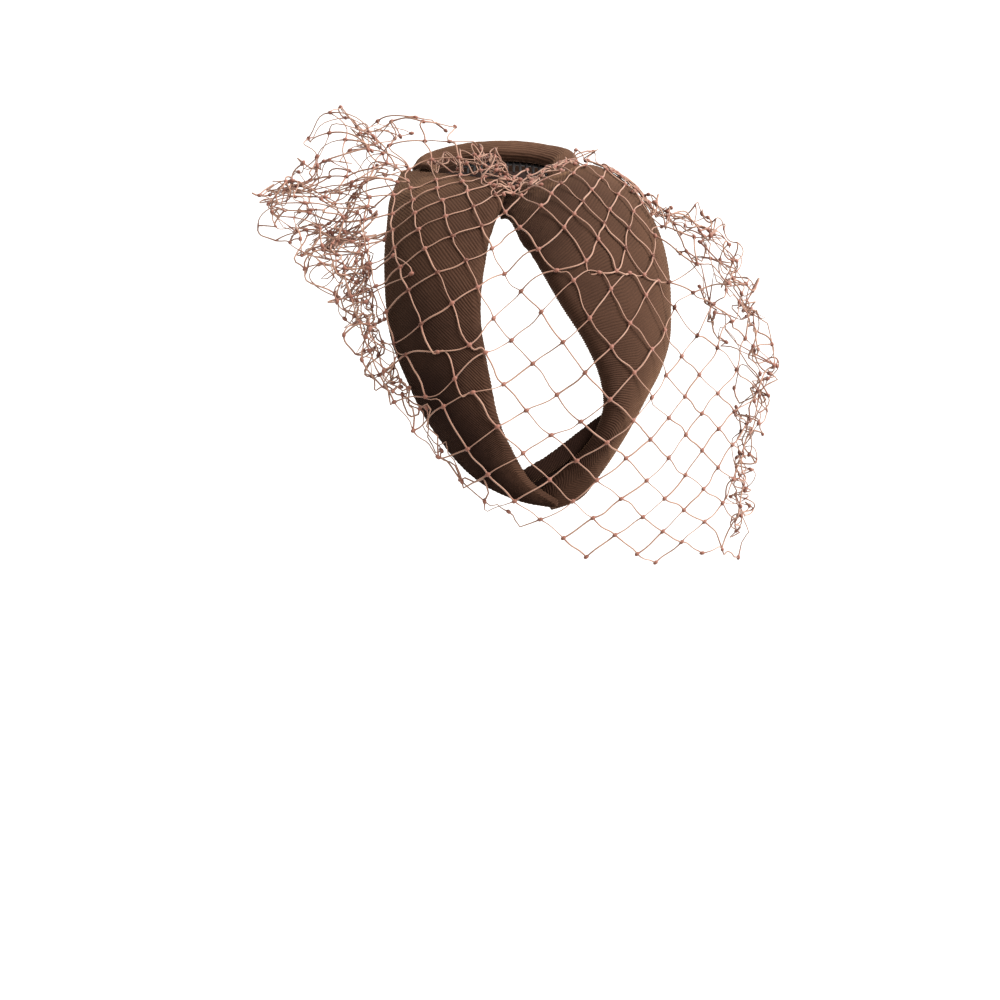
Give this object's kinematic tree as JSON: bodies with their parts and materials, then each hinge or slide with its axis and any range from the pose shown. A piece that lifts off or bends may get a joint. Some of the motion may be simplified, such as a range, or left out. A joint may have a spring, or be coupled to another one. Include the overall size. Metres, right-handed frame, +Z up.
{
  "type": "fascinator",
  "caption": "Half hat of ribbed cloth whose cupped petals form a teardrop loop down the front of the head, with an arched back band, a hair comb and a puffed net veil gathered at the crown.",
  "frame": {"origin": "top of the round seat that the hat lies on, at the crown of the head, just in front of the hair comb's bar", "axes": "+Z up, out of the crown; -Y to the wearer's forehead; +X to the right in the picture, the wearer's left"},
  "size_m": [0.182, 0.1486, 0.1642],
  "materials": {
    "ribbed_cloth": "ribbed with a slight sheen",
    "comb_plastic": "smooth",
    "veil_net": "soft matte thread"
  },
  "bodies": {
    "root": {"left_petal": "ribbed_cloth", "right_petal": "ribbed_cloth", "right_under_fold": "ribbed_cloth", "back_band": "ribbed_cloth", "hair_comb": "comb_plastic", "veil": "veil_net"}
  },
  "joints": []
}
